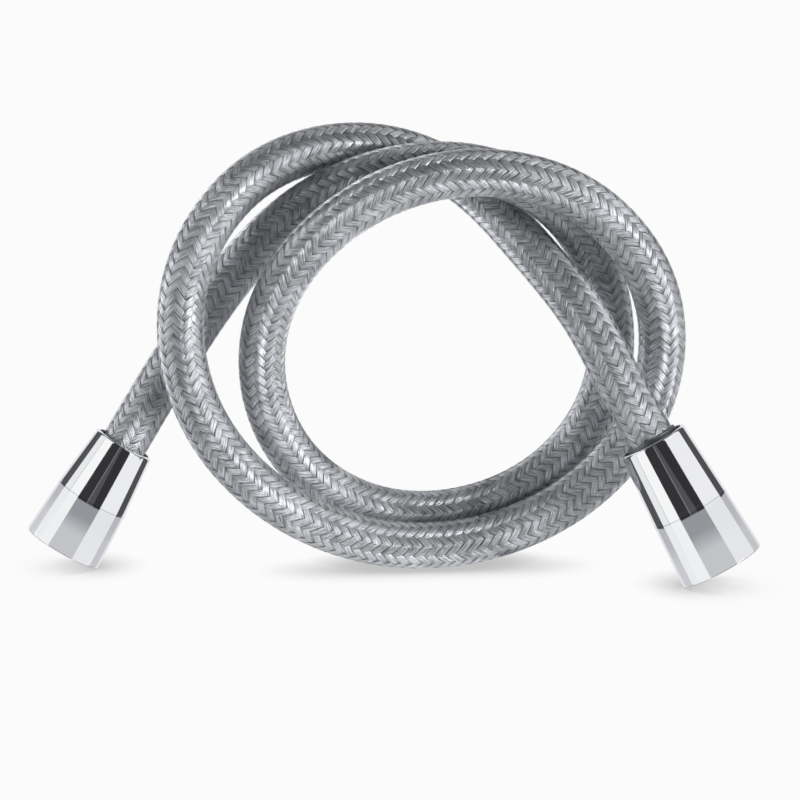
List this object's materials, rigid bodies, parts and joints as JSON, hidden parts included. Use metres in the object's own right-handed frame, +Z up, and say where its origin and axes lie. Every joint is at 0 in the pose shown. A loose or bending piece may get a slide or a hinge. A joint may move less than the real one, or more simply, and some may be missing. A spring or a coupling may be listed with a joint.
{
  "type": "braided shower hose",
  "caption": "Flexible braided shower hose standing in loose loops, with a chromed conical union nut on each end, one of them on a swivel.",
  "frame": {"origin": "under the middle of the whole hose, on the floor it stands on", "axes": "+Z up, -Y towards the viewer who faces the loops, +X to the outlet nut's side"},
  "size_m": [0.2191, 0.0643, 0.1335],
  "materials": {
    "liner": "smooth matt rubber tube",
    "braid": "silver-grey braided yarn with a silky sheen",
    "brass": "turned, bright",
    "steel": "crimped, satin",
    "rubber": "matt black",
    "nylon": "natural white nylon",
    "chrome": "polished cone with a pale satin grip band"
  },
  "bodies": {
    "hose": {"hose_liner": "liner", "hose_braid": "braid", "inlet_tail": "brass", "inlet_ferrule": "steel", "inlet_washer": "rubber", "outlet_stem": "brass", "outlet_ferrule": "steel", "outlet_o_rings": "rubber", "outlet_retaining_ring": "steel", "outlet_thrust_washer": "nylon"},
    "inlet_glide": {"inlet_glide_ring": "nylon"},
    "inlet_nut": {"inlet_nut": "chrome"},
    "outlet_swivel": {"outlet_swivel_bush": "brass", "outlet_washer": "rubber"},
    "outlet_glide": {"outlet_glide_ring": "nylon"},
    "outlet_nut": {"outlet_nut": "chrome"}
  },
  "joints": [
    {"name": "inlet_nut_slide", "type": "slide", "parent": "hose", "child": "inlet_glide", "axis": [0.5117, 0.1132, 0.8517], "range_m": [0, 0.012]},
    {"name": "inlet_nut_spin", "type": "hinge", "parent": "inlet_glide", "child": "inlet_nut", "pos_m": [-0.0992, 0.0029, 0.00621], "axis": [-0.5117, -0.1132, -0.8517], "continuous": true},
    {"name": "outlet_swivel_spin", "type": "hinge", "parent": "hose", "child": "outlet_swivel", "pos_m": [0.0985, -0.0194, 0.00635], "axis": [0.4888, -0.1219, -0.8639], "continuous": true},
    {"name": "outlet_nut_slide", "type": "slide", "parent": "outlet_swivel", "child": "outlet_glide", "axis": [-0.4888, 0.1219, 0.8639], "range_m": [0, 0.012]},
    {"name": "outlet_nut_spin", "type": "hinge", "parent": "outlet_glide", "child": "outlet_nut", "pos_m": [0.0985, -0.0194, 0.00635], "axis": [0.4888, -0.1219, -0.8639], "continuous": true}
  ]
}
